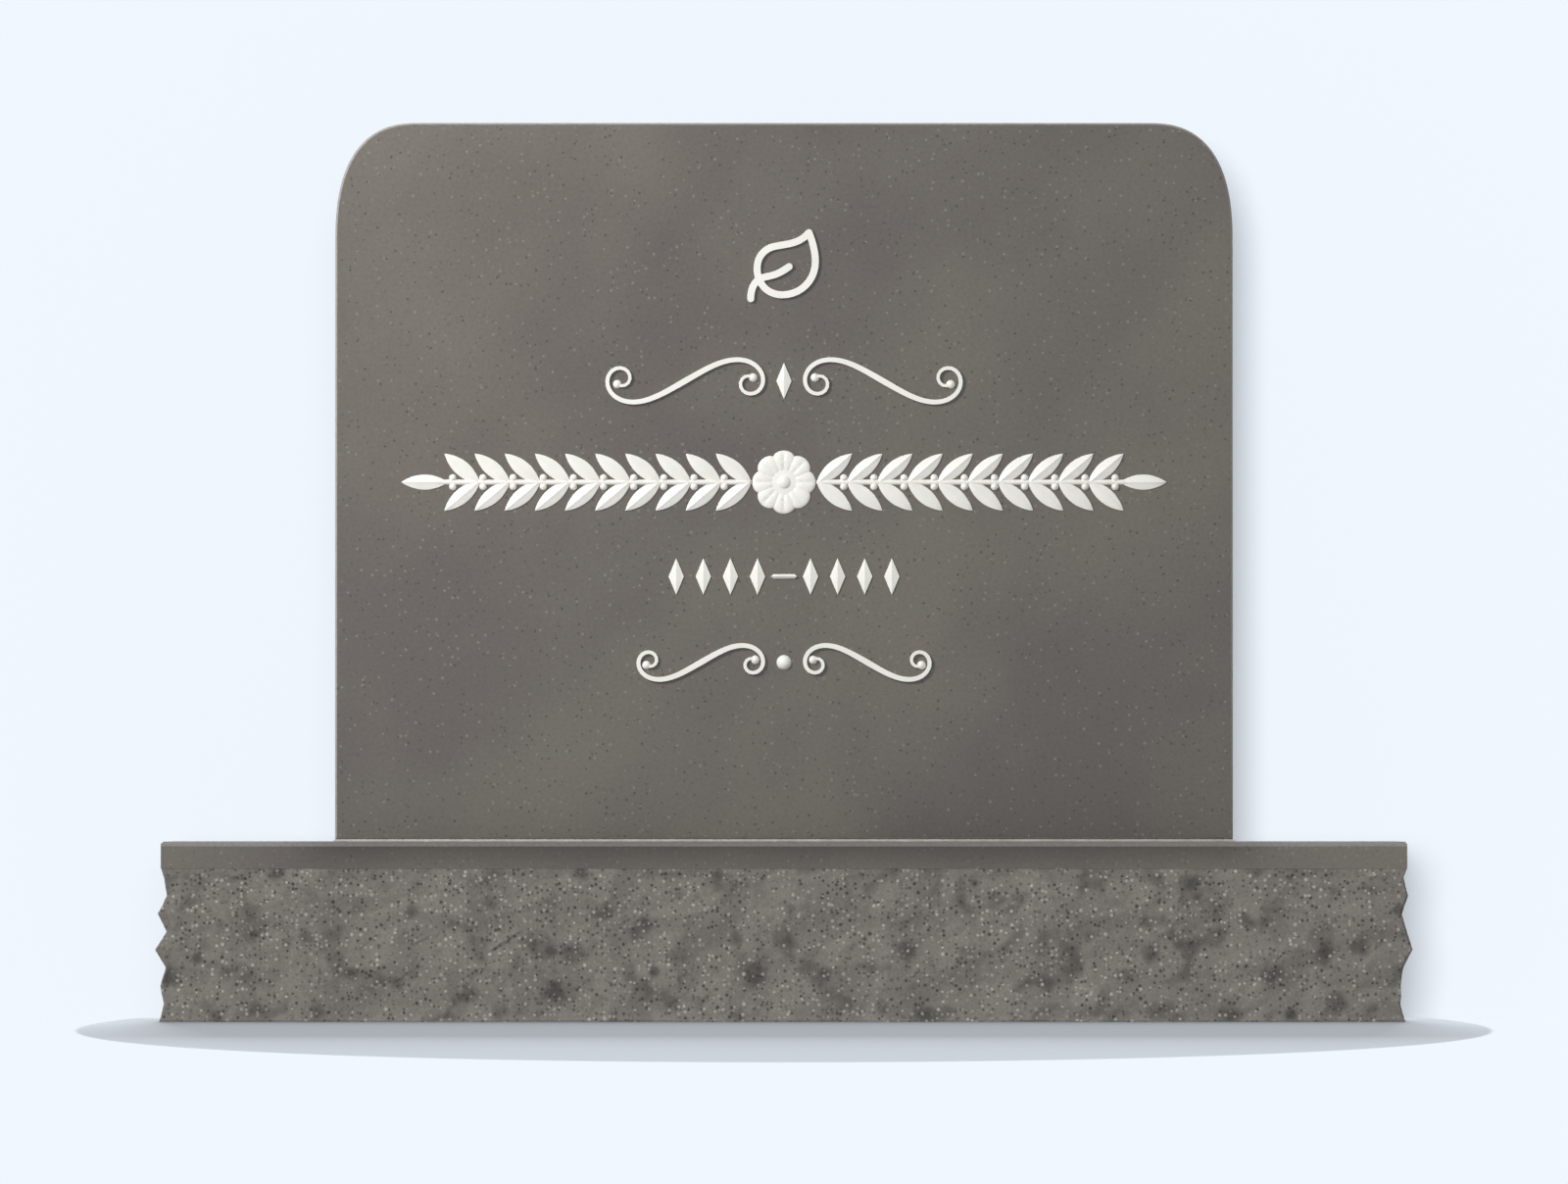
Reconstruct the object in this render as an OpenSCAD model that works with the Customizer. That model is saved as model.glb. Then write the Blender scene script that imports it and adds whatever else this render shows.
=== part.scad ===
// Upright granite headstone: a slab tablet with rounded shoulders, bedded on
// a wider base whose faces are rock-pitched below a polished margin.
// White cast ornaments are pinned to the front of the tablet.
// The origin is the middle of the base's foot, +X runs along the width,
// the front faces -Y and +Z is up. All sizes are millimetres.

/* [Tablet] */
// Width of the tablet
tablet_w = 762; // [760:1:900]
// Height of the tablet
tablet_h = 608; // [540:1:900]
// Thickness of the tablet
tablet_t = 203; // [100:1:300]
// Reach of each rounded shoulder along the top
shoulder_w = 73; // [40:1:150]
// Drop of each rounded shoulder down the side
shoulder_h = 105; // [60:1:200]
// Squareness of the shoulder curve, where 2 is an ellipse
shoulder_power = 2.6; // [2:0.1:4]
// Arris taken off every edge of the tablet
tablet_arris = 1.5; // [1:0.5:6]

/* [Setting bed] */
// Thickness of the setting bed between base and tablet
bed_h = 2; // [1:0.5:8]
// How far the bed's struck bead spreads past the tablet's foot
bed_bead = 2; // [1:0.5:5]

/* [Base] */
// Height of the base
base_h = 152.4; // [110:0.1:260]
// Polished ledge left clear at each end of the tablet
end_ledge = 146; // [60:1:250]
// Polished ledge left clear in front of and behind the tablet
side_ledge = 76; // [40:1:150]
// Arris taken off the base's top edges
base_arris = 2; // [1:0.5:8]
// Height of the polished margin at the top of the base
margin_h = 22.8; // [12:0.1:40]
// How far the boldest rock stands out past the margin
rock_out = 5; // [2:0.5:8]
// Depth of the deepest chip below the rock around it
chip_depth = 7; // [2:0.5:10]
// Width of the chips struck off the rock
chip_w = 62; // [40:1:120]
// Width of one facet of the rock
facet_w = 20; // [15:1:40]

/* [Leaf emblem] */
// Height of the emblem from the foot of its stem to its tip
emblem_size = 62; // [30:1:90]
// Width of the emblem's raised line
emblem_line = 6; // [3:0.5:8]
// Drop from the tablet's top to the middle of the emblem
emblem_drop = 121; // [100:1:140]

/* [Scrolls] */
// Drop from the tablet's top to the middle of the upper scrolls
upper_drop = 219; // [205:1:225]
// Drop from the tablet's top to the middle of the lower scrolls
lower_drop = 458; // [445:1:480]
// Length of the line of each upper scroll, from eye to eye
upper_scroll_l = 250; // [150:5:260]
// Length of the line of each lower scroll, from eye to eye
lower_scroll_l = 200; // [120:5:210]
// Width of the scroll's line at its middle
scroll_line = 5; // [3:0.5:7]
// Diameter of the round eye that ends each scroll
scroll_eye = 7.5; // [4:0.5:10]

/* [Garland] */
// Drop from the tablet's top to the middle of the garland
garland_drop = 305; // [295:1:315]
// Plain stone left clear at each end of the garland
garland_margin = 56; // [40:1:120]
// Length of one garland leaf
leaf_l = 40; // [24:1:44]
// Width of one garland leaf
leaf_w = 13; // [8:0.5:16]
// Distance between pairs of garland leaves
leaf_pitch = 25; // [20:1:40]
// Angle between a leaf and the garland's stem
leaf_angle = 40; // [25:1:50]
// Width of the garland's stem
stem_w = 4.5; // [3:0.5:6]
// Diameter of each berry
berry_d = 6.5; // [4:0.5:8]
// Diameter of the rosette at the garland's middle
rosette_d = 54; // [36:1:60]

/* [Lozenge row] */
// Drop from the tablet's top to the middle of the lozenge row
lozenge_drop = 385; // [375:1:400]
// Width of one lozenge
lozenge_w = 13; // [8:0.5:15]
// Height of one lozenge
lozenge_h = 31; // [16:1:40]
// Distance between neighbouring lozenges
lozenge_pitch = 23; // [23:1:30]
// Lozenges on each side of the middle bar
lozenge_count = 4; // [2:1:6]
// Length of the bar at the middle of the row
bar_l = 22; // [10:1:40]
// Thickness of the bar at the middle of the row
bar_w = 4; // [2:0.5:8]

/* [Ornament] */
// How far the ornaments stand out from the stone
relief = 3; // [1:0.5:6]

/* [Hidden] */
stone = "#716c66";
rock = "#72706a";
compound = "#9e9b97";
enamel = "#f4f2ec";

// The base follows the tablet and the ledges left round it.
base_w = tablet_w + 2 * end_ledge;
base_d = tablet_t + 2 * side_ledge;
rock_top = base_h - margin_h;
foot_z = base_h + bed_h;
top_z = foot_z + tablet_h;

// Courses of chips, from the foot up to the margin, and how far each stands
// out on the four sides as a share of rock_out. The last share of each side
// lies behind the margin.
course_count = 8.5;
front_courses = [-0.2, 0.4, -0.6, 0.7, 1, 0.2, 0.6, -0.4, 0.3, -1.2];
right_courses = [-0.3, -0.9, -0.9, -0.6, 1, 0.1, -0.8, 0.3, -0.5, -0.1];
back_courses = [0.1, -0.5, 0.5, -0.3, 1, 0.6, -0.5, 0.4, -0.2, -1.2];
left_courses = [0.3, -0.4, 0.2, -0.8, 1, -0.9, 0.6, -0.8, -0.3, -0.1];
// How far the rock is carried up inside the polished margin
rock_lap = 5;
// Height of one bed of chips
chip_h = 48;

// Height of a cut ornament at its rim, and of the garland's stem and the
// rosette's disc, as shares of the relief
rim_share = 0.4;
stem_share = 0.75;
// Clear stone between the rosette and the garland
ornament_gap = 2;
// Clear stone from the middle line to the nearer end of a scroll
scroll_gap = 14;
// Heading of a scroll's line at its middle, how far it turns by each end,
// and how late it does so
scroll_tilt = -30;
scroll_turn = 430;
scroll_power = 2.8;
// Where the berries lie, from one pair of leaves to the next
berry_place = 0.85;
// Petals of the rosette, and the widths of a petal and of the boss as shares
// of the rosette's
petals = 8;
petal_share = 0.36;
boss_share = 0.32;
// Height of a boss or an eye over the relief round it
boss_rise = 1.5;

// Number of straight steps along a rounded shoulder, a leaf edge, a scroll
shoulder_steps = 24;
blade_steps = 10;
scroll_steps = 36;
$fn = 48;

// A repeatable scatter between 0 and 1.
function scatter(i, j, k) =
    let (v = 437.585 * sin(127.1 * i + 311.7 * j + 74.7 * k))
    v - floor(v);

// ---------------------------------------------------------------- tablet

// Front outline of the tablet, with its shoulders as superellipses.
function shoulder(side) = [
    for (i = [0:shoulder_steps])
        let (a = 90 * i / shoulder_steps, p = 2 / shoulder_power)
        [side * (tablet_w / 2 - shoulder_w + shoulder_w * pow(cos(a), p)),
         tablet_h - shoulder_h + shoulder_h * pow(sin(a), p)]
];

function toward(a) = [cos(a), sin(a)];
function reversed(list) = [for (i = [len(list) - 1:-1:0]) list[i]];

module tablet_outline() {
    polygon(concat(
        [[-tablet_w / 2, 0], [tablet_w / 2, 0]],
        shoulder(1),
        reversed(shoulder(-1))
    ));
}

module tablet() {
    color(stone)
    translate([0, 0, foot_z])
    rotate([90, 0, 0])
    hull() {
        linear_extrude(tablet_t - 2 * tablet_arris, center = true)
            tablet_outline();
        linear_extrude(tablet_t, center = true)
            offset(delta = -tablet_arris) tablet_outline();
    }
}

// ----------------------------------------------------------- setting bed

// A bed of setting compound, struck off to a bead round the tablet's foot.
module bed_section(w) {
    polygon([[-w / 2 - bed_bead, 0], [w / 2 + bed_bead, 0],
             [w / 2, bed_h], [-w / 2, bed_h]]);
}

module setting_bed() {
    reach = tablet_w + tablet_t;
    color(compound)
    translate([0, 0, base_h])
    intersection() {
        rotate([90, 0, 0])
            linear_extrude(reach, center = true) bed_section(tablet_w);
        rotate([90, 0, 90])
            linear_extrude(2 * reach, center = true) bed_section(tablet_t);
    }
}

// ------------------------------------------------------------------ base

// Height of a course, and of the ring that ends inside the margin.
function course_z(j) =
    j > course_count ? rock_top + rock_lap : j * rock_top / course_count;

// How deep chips have bitten at a point of side k: 0 on the ridges between
// chips and 1 in the middle of a chip.
function chipped(u, z, k) =
    let (iu = floor(u / chip_w), iz = floor(z / chip_h))
    max([for (i = [iu - 1:iu + 1], j = [iz - 1:iz + 1])
        let (cu = (i + 0.15 + 0.7 * scatter(i, j, k)) * chip_w,
             cz = (j + 0.15 + 0.7 * scatter(j, i, k + 5)) * chip_h,
             r = 0.5 * chip_w * (0.8 + 0.5 * scatter(i, j, k + 9)))
        max(0, 1 - (pow(u - cu, 2) + pow(z - cz, 2)) / (r * r))]);

// One side's points at course j, from corner to corner. The courses show in
// full at the corners. Away from them the long sides stand out boldly, and
// chips bite into both, twice as deep into the courses of the short sides.
function side_points(length, depth, here, next, before, bold, k, j) =
    let (n = round(length / facet_w), z = course_z(j),
         last = len(here) - 1,
         from = -length / 2 - rock_out * before[j],
         to = length / 2 + rock_out * next[j])
    [for (i = [0:n - 1])
        let (inside = i > 0 && j < last ? 1 : 0,
             free = inside * (j > 0 ? 1 : 0),
             u = (i + free * 0.6 * (scatter(i, j, k) - 0.5)) / n,
             rise = free * 0.4 * (scatter(j, i, k) - 0.5) * course_z(1),
             fade = inside * min(1, min(u, 1 - u) * length / chip_w),
             struck = 1 - (bold ? 1 : 2) * fade * chip_depth / rock_out
                 * chipped(u * length, z + rise, k),
             level = bold ? here[j] * (1 - fade) + fade * struck
                          : min(here[j], struck))
        [from + (to - from) * u, -depth / 2 - rock_out * level, z + rise]];

function turned(points, a) = [
    for (p = points)
        [p[0] * cos(a) - p[1] * sin(a), p[0] * sin(a) + p[1] * cos(a), p[2]]
];

// A ring of the rock at course j, seen from above and anticlockwise.
function rock_ring(j) = concat(
    side_points(base_w, base_d, front_courses, right_courses,
                left_courses, true, 1, j),
    turned(side_points(base_d, base_w, right_courses, back_courses,
                       front_courses, false, 2, j), 90),
    turned(side_points(base_w, base_d, back_courses, left_courses,
                       right_courses, true, 3, j), 180),
    turned(side_points(base_d, base_w, left_courses, front_courses,
                       back_courses, false, 4, j), 270)
);

// The rock as a skin over its rings, closed by fans round a middle point.
module pitched_rock() {
    rings = [for (j = [0:len(front_courses) - 1]) rock_ring(j)];
    n = len(rings[0]);
    last = len(rings) - 1;
    foot_middle = len(rings) * n;
    top_middle = foot_middle + 1;
    polyhedron(
        points = concat(
            [for (ring = rings) each ring],
            [[0, 0, course_z(0)], [0, 0, course_z(last)]]
        ),
        faces = concat(
            [for (i = [0:n - 1]) [foot_middle, i, (i + 1) % n]],
            [for (i = [0:n - 1])
                [top_middle, last * n + (i + 1) % n, last * n + i]],
            [for (j = [0:last - 1], i = [0:n - 1])
                let (a = j * n + i, b = j * n + (i + 1) % n)
                each (scatter(i, j, 7) < 0.5
                    ? [[a, a + n, b + n], [a, b + n, b]]
                    : [[a, a + n, b], [b, a + n, b + n]])]
        )
    );
}

module margin_section(w) {
    polygon([[-w / 2, 0], [w / 2, 0], [w / 2, margin_h - base_arris],
             [w / 2 - base_arris, margin_h], [-w / 2 + base_arris, margin_h],
             [-w / 2, margin_h - base_arris]]);
}

module base() {
    color(rock)
    union() {
        pitched_rock();
        translate([0, 0, rock_top])
        intersection() {
            rotate([90, 0, 0])
                linear_extrude(base_w, center = true) margin_section(base_w);
            rotate([90, 0, 90])
                linear_extrude(2 * base_w, center = true) margin_section(base_d);
        }
    }
}

// ------------------------------------------------------------- ornaments

// Seats flat shapes on the tablet's front face, so far below its top.
module on_face(drop) {
    color(enamel)
    translate([0, -tablet_t / 2, top_z - drop])
    rotate([90, 0, 0])
        children();
}

module raised(height = relief) {
    linear_extrude(height) children();
}

// A low dome: the part of a sphere that stands clear of the face.
module dome(d, h) {
    r = (d * d / 4 + h * h) / (2 * h);
    intersection() {
        translate([0, 0, h - r]) sphere(r);
        linear_extrude(2 * h) square(2 * d, center = true);
    }
}

// A roof along X that falls from a ridge to the rim at half of w each way.
module ridged(w, length) {
    fall = relief * (1 - rim_share);
    rotate([90, 0, 90])
    linear_extrude(length)
    polygon([[0, relief], [-w, relief - 2 * fall], [-w, -relief],
             [w, -relief], [w, relief - 2 * fall]]);
}

// A point of a cubic curve through ends a and d, pulled towards b and c.
function curve_point(a, b, c, d, t) =
    a * pow(1 - t, 3) + 3 * b * t * pow(1 - t, 2)
    + 3 * c * pow(t, 2) * (1 - t) + d * pow(t, 3);

// The line along a chain of cubic curves: each group of three points after
// the first is two pulls and the curve's end.
function chain(pts, size) = [
    for (s = [0:3:len(pts) - 4], i = [0:blade_steps - 1])
        size * curve_point(pts[s], pts[s + 1], pts[s + 2], pts[s + 3],
                           i / blade_steps)
];

// A raised line of one width with round ends, along a chain of curves.
module ribbon(pts, size, w) {
    line = concat(chain(pts, size), [size * pts[len(pts) - 1]]);
    last = len(line) - 1;
    heading = [for (i = [0:last])
        let (d = line[min(i + 1, last)] - line[max(i - 1, 0)])
        atan2(d[1], d[0])];
    raised() polygon(concat(
        [for (i = [0:last]) line[i] + w / 2 * toward(heading[i] + 90)],
        [for (a = [75:-15:-75]) line[last] + w / 2 * toward(heading[last] + a)],
        [for (i = [last:-1:0]) line[i] + w / 2 * toward(heading[i] - 90)],
        [for (a = [-105:-15:-255]) line[0] + w / 2 * toward(heading[0] + a)]
    ));
}

// The blade's edge from its tip round by the right, and its stem and midrib,
// both in hundredths of the emblem's size about its middle.
blade = [[39, 51], [44, 39], [49, 22], [49, 6],
         [49, -24], [26, -46], [-3, -46],
         [-26, -46], [-42, -28], [-42, -5],
         [-42, 14], [-30, 27], [-13, 30],
         [8, 34], [24, 34], [39, 51]];
midrib = [[-52, -52], [-52, -34], [-44, -22], [-33, -19],
          [-16, -15], [-10, -15], [8, -2]];

module leaf_emblem() {
    unit = (emblem_size - emblem_line) / 103;
    on_face(emblem_drop) {
        raised() difference() {
            offset(r = emblem_line / 2) polygon(chain(blade, unit));
            offset(r = -emblem_line / 2) polygon(chain(blade, unit));
        }
        ribbon(midrib, unit, emblem_line);
    }
}

// An S-scroll: its line runs straight through the middle and winds tighter
// towards each eye.
function scroll_heading(t) =
    scroll_tilt + scroll_turn * pow(abs(t), scroll_power);
function scroll_half(length) = [
    for (i = 0, p = [0, 0]; i <= scroll_steps; i = i + 1,
         p = p + length / 2 / scroll_steps
             * [cos(scroll_heading((i - 0.5) / scroll_steps)),
                sin(scroll_heading((i - 0.5) / scroll_steps))]) p
];

module scroll(length) {
    half = scroll_half(length);
    edge = function (side) [
        for (i = [-scroll_steps:scroll_steps])
            let (t = i / scroll_steps, a = scroll_heading(t),
                 w = scroll_line * (1 - 0.5 * abs(t)))
            (i < 0 ? -half[-i] : half[i])
            + side * w / 2 * [-sin(a), cos(a)]
    ];
    raised() polygon(concat(edge(1), reversed(edge(-1))));
    for (end = [half[scroll_steps], -half[scroll_steps]])
        translate(end) dome(scroll_eye, scroll_eye / 2);
}

// Half the span of a scroll, so that its neighbours keep clear of it.
function scroll_reach(length) =
    max([for (p = scroll_half(length)) abs(p[0])]) + scroll_eye / 2;

module scroll_at(length, drop, side) {
    place = scroll_gap + scroll_reach(length);
    on_face(drop)
        translate([side * place, 0])
        mirror([side < 0 ? 1 : 0, 0]) scroll(length);
}

module upper_scroll_left() { scroll_at(upper_scroll_l, upper_drop, -1); }
module upper_scroll_right() { scroll_at(upper_scroll_l, upper_drop, 1); }
module lower_scroll_left() { scroll_at(lower_scroll_l, lower_drop, -1); }
module lower_scroll_right() { scroll_at(lower_scroll_l, lower_drop, 1); }

// An upright lozenge, cut from its rim to a point over its middle.
module lozenge() {
    corners = [[lozenge_w / 2, 0], [0, lozenge_h / 2],
               [-lozenge_w / 2, 0], [0, -lozenge_h / 2]];
    polyhedron(
        points = concat(
            [for (c = corners) [c[0], c[1], 0]],
            [for (c = corners) [c[0], c[1], rim_share * relief]],
            [[0, 0, relief]]
        ),
        faces = concat(
            [[0, 1, 2, 3]],
            [for (i = [0:3])
                let (j = (i + 1) % 4)
                each [[i, i + 4, j + 4, j], [i + 4, 8, j + 4]]]
        )
    );
}

module upper_lozenge() {
    on_face(upper_drop) lozenge();
}

module lower_bead() {
    on_face(lower_drop) dome(lozenge_w, boss_rise * relief);
}

// A pointed leaf from the origin along +X: its edges are two arcs that cross
// at its ends, and two slopes meet in a ridge along its middle.
module leaf(length, w) {
    r = (length * length + w * w) / (4 * w);
    intersection() {
        raised() intersection() {
            translate([length / 2, r - w / 2]) circle(r, $fn = 180);
            translate([length / 2, w / 2 - r]) circle(r, $fn = 180);
        }
        ridged(w, length);
    }
}

// Half of the garland, from the rosette out to its last leaf.
module garland_half(side) {
    start = rosette_d / 2 + ornament_gap;
    stem_end = tablet_w / 2 - garland_margin - leaf_l;
    pairs = round((stem_end - start) / leaf_pitch);
    pitch = (stem_end - start) / pairs;
    on_face(garland_drop)
    mirror([side < 0 ? 1 : 0, 0]) {
        raised(stem_share * relief)
            polygon([[start, -stem_w / 2], [stem_end + stem_w, -stem_w / 4],
                     [stem_end + stem_w, stem_w / 4], [start, stem_w / 2]]);
        translate([stem_end, 0]) leaf(leaf_l, leaf_w);
        for (i = [0:pairs - 1], s = [-1, 1])
            translate([start + i * pitch, 0]) {
                rotate(s * leaf_angle)
                    translate([-stem_w / 2, 0]) leaf(leaf_l, leaf_w);
                translate([berry_place * pitch, s * (stem_w + berry_d) / 3])
                    cylinder(h = relief, d1 = berry_d, d2 = berry_d / 2);
            }
    }
}

module garland_left() { garland_half(-1); }
module garland_right() { garland_half(1); }

// A rosette: domed petals on a disc, round a domed boss.
module rosette() {
    petal_d = petal_share * rosette_d;
    on_face(garland_drop) {
        raised(stem_share * relief) circle(d = rosette_d - petal_d);
        for (i = [0:petals - 1])
            rotate(360 * i / petals)
                translate([(rosette_d - petal_d) / 2, 0])
                    dome(petal_d, relief);
        dome(boss_share * rosette_d, boss_rise * relief);
    }
}

// A row of upright lozenges on one side of the middle bar.
module lozenges(side) {
    start = (bar_l + lozenge_pitch) / 2;
    on_face(lozenge_drop)
    for (i = [0:lozenge_count - 1])
        translate([side * (start + i * lozenge_pitch), 0]) lozenge();
}

module lozenges_left() { lozenges(-1); }
module lozenges_right() { lozenges(1); }

// A bar with pointed ends and a ridge along its middle.
module middle_bar() {
    on_face(lozenge_drop)
    translate([-bar_l / 2, 0])
    intersection() {
        raised() polygon([[0, 0], [bar_w / 2, -bar_w / 2],
                          [bar_l - bar_w / 2, -bar_w / 2], [bar_l, 0],
                          [bar_l - bar_w / 2, bar_w / 2], [bar_w / 2, bar_w / 2]]);
        ridged(bar_w, bar_l);
    }
}

base();
setting_bed();
tablet();
leaf_emblem();
upper_scroll_left();
upper_scroll_right();
upper_lozenge();
garland_left();
garland_right();
rosette();
lozenges_left();
lozenges_right();
middle_bar();
lower_scroll_left();
lower_scroll_right();
lower_bead();
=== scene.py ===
"""Finishes a packed headstone: polished and rock-pitched granite, its setting
bed and white enamelled ornaments, in a plain pale studio."""

import math

import bmesh
import bpy
from bpy.props import (FloatProperty, FloatVectorProperty, IntProperty,
                       PointerProperty)
from mathutils import Matrix, Vector


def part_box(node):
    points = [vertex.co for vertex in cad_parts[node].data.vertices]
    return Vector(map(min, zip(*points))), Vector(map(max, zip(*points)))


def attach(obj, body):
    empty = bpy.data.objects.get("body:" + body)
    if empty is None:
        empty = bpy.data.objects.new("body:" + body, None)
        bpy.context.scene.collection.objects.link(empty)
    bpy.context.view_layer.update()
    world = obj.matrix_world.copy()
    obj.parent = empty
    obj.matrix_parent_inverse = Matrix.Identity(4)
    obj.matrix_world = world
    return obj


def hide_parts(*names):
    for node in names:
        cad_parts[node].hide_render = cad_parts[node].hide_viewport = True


bl_info = {
    "name": "Granite headstone finish",
    "version": (1, 0, 0),
    "blender": (4, 5, 0),
    "location": "3D View > Sidebar > Headstone",
    "description": "Finishes a headstone's granite, setting bed and ornaments",
    "category": "Object",
}

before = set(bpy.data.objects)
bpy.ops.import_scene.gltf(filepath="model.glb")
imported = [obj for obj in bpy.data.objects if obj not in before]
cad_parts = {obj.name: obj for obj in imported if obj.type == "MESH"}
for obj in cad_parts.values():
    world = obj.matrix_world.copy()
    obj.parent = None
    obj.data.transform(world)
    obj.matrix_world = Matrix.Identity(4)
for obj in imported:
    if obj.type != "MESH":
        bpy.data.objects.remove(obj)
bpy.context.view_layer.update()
BODY = "root"
MM = 0.001

BASE_LOW, BASE_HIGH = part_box("base")
TABLET_LOW, TABLET_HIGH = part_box("tablet")
ROSETTE_LOW, ROSETTE_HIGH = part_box("rosette")
GARLAND_LOW, GARLAND_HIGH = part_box("garland_right")
ROW_LOW, ROW_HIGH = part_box("lozenges_right")
LOZENGE_LOW, LOZENGE_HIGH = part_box("upper_lozenge")
STONE_MIDDLE = Vector((0, 0, (BASE_LOW.z + TABLET_HIGH.z) / 2))
RELIEF = LOZENGE_HIGH.y - LOZENGE_LOW.y
GRANITE_IOR = 1.54
MATH, VECTOR_MATH = "ShaderNodeMath", "ShaderNodeVectorMath"


# ------------------------------------------------------------ small helpers

def linear(hex_colour):
    """An sRGB hex colour as Blender's linear RGBA."""
    parts = [int(hex_colour[i:i + 2], 16) / 255 for i in (1, 3, 5)]
    return tuple(p / 12.92 if p <= 0.04045 else ((p + 0.055) / 1.055) ** 2.4
                 for p in parts) + (1.0,)


def dimmed(tone, share):
    """A share of a linear colour's light."""
    return (*(share * part for part in tone[:3]), 1.0)


def colour(name, description, hex_colour):
    """A colour that a user may change."""
    return FloatVectorProperty(
        name=name, description=description, subtype="COLOR", size=4,
        min=0.0, max=1.0, default=linear(hex_colour))


def length(name, description, millimetres, least=0.0):
    """A length that a user may change."""
    return FloatProperty(
        name=name, description=description, unit="LENGTH",
        min=least * MM, default=millimetres * MM)


def feed(node, inputs):
    """Gives a node's inputs, by name or number, their values, or the nodes or
    sockets that they take them from. A list feeds all it holds to one input.
    """
    for name, given in inputs.items():
        for value in given if isinstance(given, list) else [given]:
            if isinstance(value, bpy.types.Node):
                value = next(out for out in value.outputs if out.enabled)
            if isinstance(value, bpy.types.NodeSocket):
                node.id_data.links.new(value, node.inputs[name])
            else:
                node.inputs[name].default_value = value


def add(tree, kind, inputs=None, **settings):
    """Adds a node with its settings and its inputs."""
    node = tree.nodes.new(kind)
    for name, value in settings.items():
        setattr(node, name, value)
    feed(node, inputs or {})
    return node


def new_tree(name, **sockets):
    """An empty Geometry Nodes tree and its inputs, whose names come listed by
    their kinds."""
    tree = bpy.data.node_groups.new(name, "GeometryNodeTree")
    for kind, names in {"Geometry": "Geometry", **sockets}.items():
        for socket in names.split(", "):
            tree.interface.new_socket(socket, in_out="INPUT",
                                      socket_type="NodeSocket" + kind)
    tree.interface.new_socket("Geometry", in_out="OUTPUT",
                              socket_type="NodeSocketGeometry")
    return tree, tree.nodes.new("NodeGroupInput").outputs


def shown(name, work):
    """A new object at the origin, made from a bmesh."""
    mesh = bpy.data.meshes.new(name)
    work.to_mesh(mesh)
    work.free()
    piece = bpy.data.objects.new(name, mesh)
    bpy.context.scene.collection.objects.link(piece)
    return piece


def settle(piece):
    """Turns a piece and its modifiers into a plain mesh."""
    ready = piece.evaluated_get(bpy.context.evaluated_depsgraph_get())
    mesh = bpy.data.meshes.new_from_object(ready)
    piece.modifiers.clear()
    piece.data = mesh
    mesh.name = piece.name
    for slot in reversed(range(len(mesh.materials))):
        if mesh.materials[slot] is None:
            mesh.materials.pop(index=slot)
    return piece


def grow(piece, tree, values):
    """Runs a Geometry Nodes tree on a piece and settles it."""
    modifier = piece.modifiers.new(tree.name, "NODES")
    modifier.node_group = tree
    for item in tree.interface.items_tree:
        if item.name in values:
            modifier[item.identifier] = values[item.name]
    settle(piece)


def clean(piece):
    """Closes up the slivers and doubled points left by earlier steps."""
    work = bmesh.new()
    work.from_mesh(piece.data)
    bmesh.ops.dissolve_degenerate(work, dist=0.002 * MM, edges=work.edges)
    work.to_mesh(piece.data)
    work.free()
    return piece


def shade(piece, angle):
    """Smooths a piece across gentle edges and keeps its flat faces flat."""
    piece.data.shade_smooth()
    piece.data.set_sharp_from_angle(angle=math.radians(angle))
    weigh = piece.modifiers.new("Flat faces stay flat", "WEIGHTED_NORMAL")
    weigh.weight = 100
    weigh.keep_sharp = True
    return settle(piece)


def merged_copy(node):
    """A CAD node's mesh as one joined bmesh."""
    work = bmesh.new()
    work.from_mesh(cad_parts[node].data)
    bmesh.ops.remove_doubles(work, verts=work.verts, dist=0.01 * MM)
    return work


def eased_copy(name, node, material, edge, segments=2):
    """A copy of a CAD node with its edges eased, in one material."""
    work = merged_copy(node)
    bmesh.ops.dissolve_limit(work, angle_limit=math.radians(0.6),
                             verts=work.verts, edges=work.edges)
    piece = shown(name, work)
    piece.data.materials.append(material)
    bevel = piece.modifiers.new("Eased edges", "BEVEL")
    bevel.width = edge
    bevel.segments = segments
    bevel.limit_method = "ANGLE"
    bevel.angle_limit = math.radians(30)
    return shade(clean(settle(piece)), 35)


def place(piece, slot, *nodes):
    """Lets a finished piece ride on the stone in the place of CAD nodes."""
    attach(piece, BODY)
    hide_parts(*nodes)


# ---------------------------------------------------------------- materials

MADE = {}


def finish(make, settings):
    """The material that a function makes, made once."""
    if make not in MADE:
        MADE[make] = make(settings)
    return MADE[make]


def new_material(name):
    """A named material, its node tree, its shader and its pattern's place."""
    material = bpy.data.materials.new(name)
    material.use_nodes = True
    tree = material.node_tree
    where = add(tree, "ShaderNodeTexCoord").outputs["Object"]
    return material, tree, tree.nodes["Principled BSDF"], where


def mottle(tree, where, size_mm, low, high, detail=2.0, roughness=0.5):
    """Soft patches of a size in millimetres, shaded from a low to a high
    stop, each a place on the noise and its tone: the noise, and its colours.
    """
    noise = add(tree, "ShaderNodeTexNoise",
                {"Vector": where, "Scale": 1 / (size_mm * MM),
                 "Detail": detail, "Roughness": roughness})
    ramp = add(tree, "ShaderNodeValToRGB", {"Fac": noise})
    for stop, (at, tone) in zip(ramp.color_ramp.elements, (low, high)):
        stop.position = at
        stop.color = linear(tone) if isinstance(tone, str) else tone
    return noise, ramp


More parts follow.
